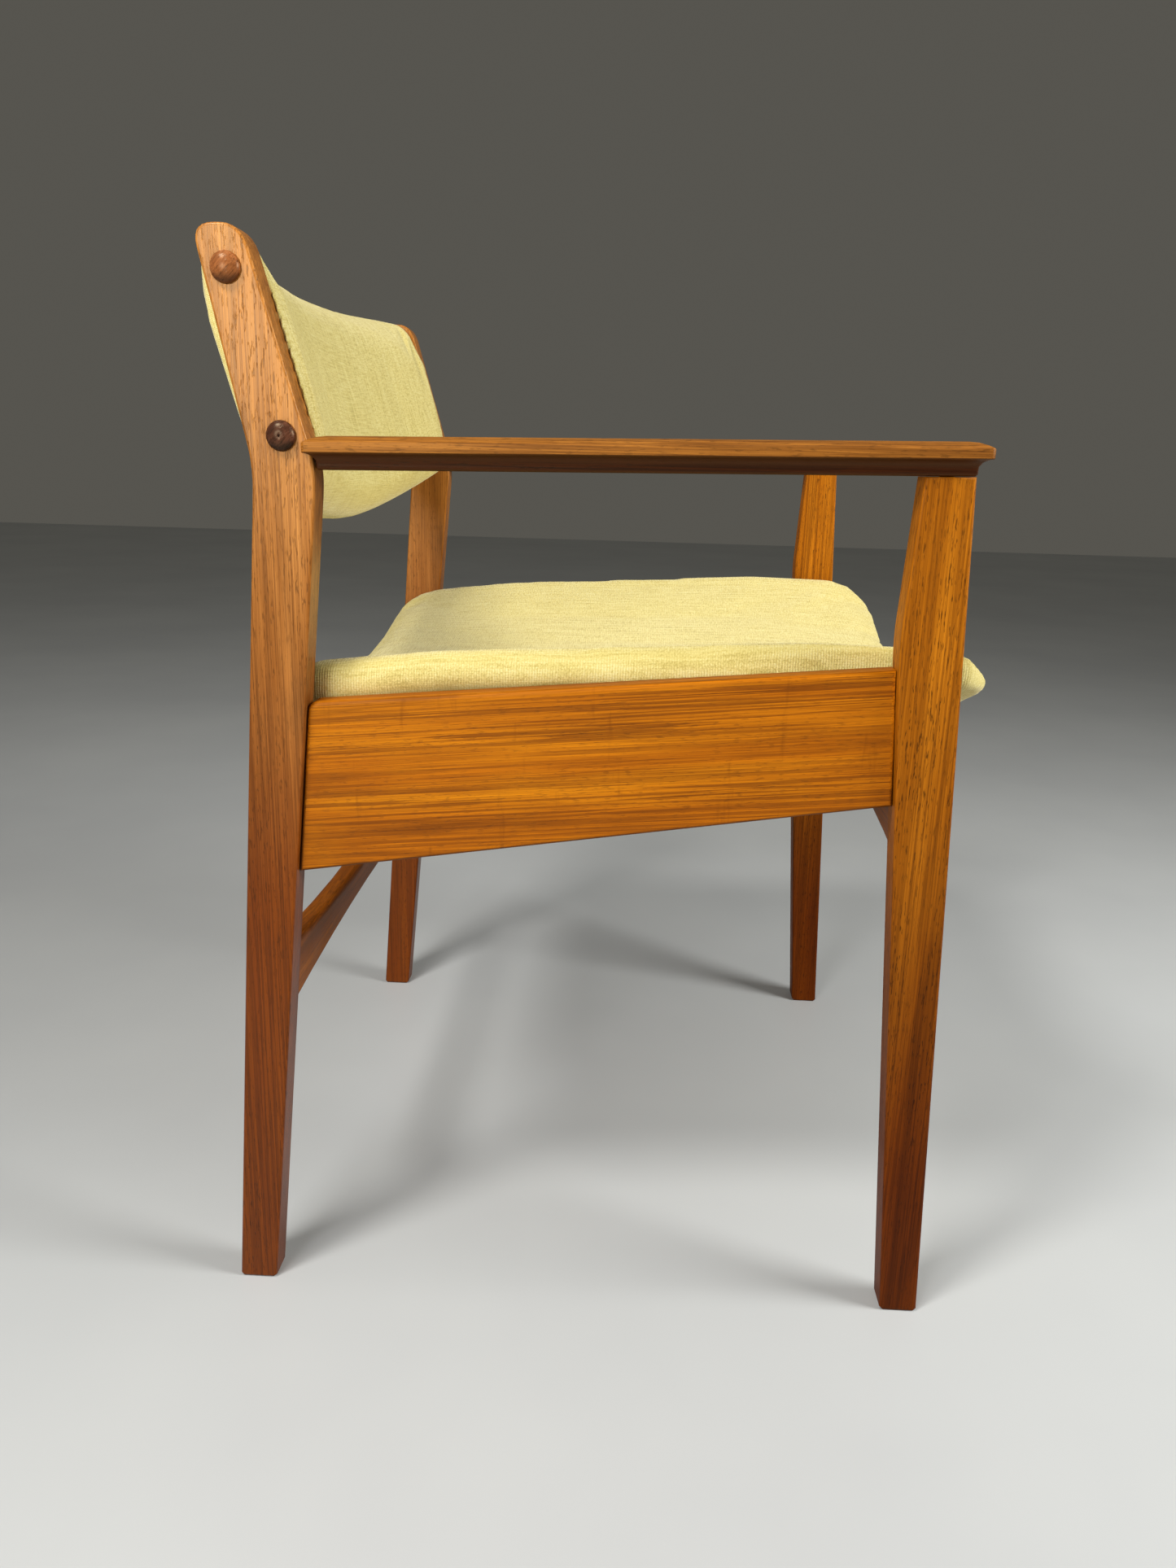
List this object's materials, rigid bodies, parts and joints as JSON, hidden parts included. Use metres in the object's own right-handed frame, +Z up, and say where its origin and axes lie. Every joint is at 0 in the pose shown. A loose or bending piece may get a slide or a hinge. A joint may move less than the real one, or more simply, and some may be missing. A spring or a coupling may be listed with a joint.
{
  "type": "armchair",
  "caption": "Wooden armchair with tapered legs, sloping side rails, moulded armrests, a dished upholstered seat and a low, curved upholstered back held between bent rear posts.",
  "frame": {"origin": "floor level, at the centre of the bounding box's base", "axes": "+Z up, the front of the chair faces -Y, the sitter's left is +X"},
  "size_m": [0.584, 0.596, 0.785],
  "materials": {
    "teak": "oiled satin, reddish brown with fine dark pores",
    "teak_light": "oiled satin, golden brown with straight grain",
    "rosewood": "polished, dark reddish brown",
    "beech": "raw, pale",
    "wool": "woven, pale yellow, matte",
    "steel": "bright zinc"
  },
  "bodies": {
    "root": {"armrest_left": "teak", "armrest_right": "teak", "back_batten_left": "beech", "back_batten_right": "beech", "back_board": "beech", "back_pad_front": "wool", "back_pad_rear": "wool", "back_screw_lower_left": "steel", "back_screw_lower_right": "steel", "back_screw_upper_left": "steel", "back_screw_upper_right": "steel", "back_washer_lower_left": "steel", "back_washer_lower_right": "steel", "back_washer_upper_left": "steel", "back_washer_upper_right": "steel", "button_lower_left": "rosewood", "button_lower_right": "rosewood", "button_upper_left": "rosewood", "button_upper_right": "rosewood", "cleat_screw_front_left": "steel", "cleat_screw_front_right": "steel", "cleat_screw_rear_left": "steel", "cleat_screw_rear_right": "steel", "dowel_arm_front_left": "beech", "dowel_arm_front_right": "beech", "dowel_arm_rear_left": "beech", "dowel_arm_rear_right": "beech", "dowel_front_rail_lower_left": "beech", "dowel_front_rail_lower_right": "beech", "dowel_front_rail_upper_left": "beech", "dowel_front_rail_upper_right": "beech", "dowel_rail_front_lower_left": "beech", "dowel_rail_front_lower_right": "beech", "dowel_rail_front_upper_left": "beech", "dowel_rail_front_upper_right": "beech", "dowel_rail_rear_lower_left": "beech", "dowel_rail_rear_lower_right": "beech", "dowel_rail_rear_upper_left": "beech", "dowel_rail_rear_upper_right": "beech", "dowel_stretcher_lower_left": "beech", "dowel_stretcher_lower_right": "beech", "dowel_stretcher_upper_left": "beech", "dowel_stretcher_upper_right": "beech", "front_leg_left": "teak", "front_leg_right": "teak", "front_rail": "teak", "rear_leg_left": "teak", "rear_leg_right": "teak", "rear_stretcher": "teak", "seat_board": "beech", "seat_cleat_left": "beech", "seat_cleat_right": "beech", "seat_pad": "wool", "seat_screw_front_left": "steel", "seat_screw_front_right": "steel", "seat_screw_rear_left": "steel", "seat_screw_rear_right": "steel", "side_rail_left": "teak_light", "side_rail_right": "teak_light"}
  },
  "joints": []
}
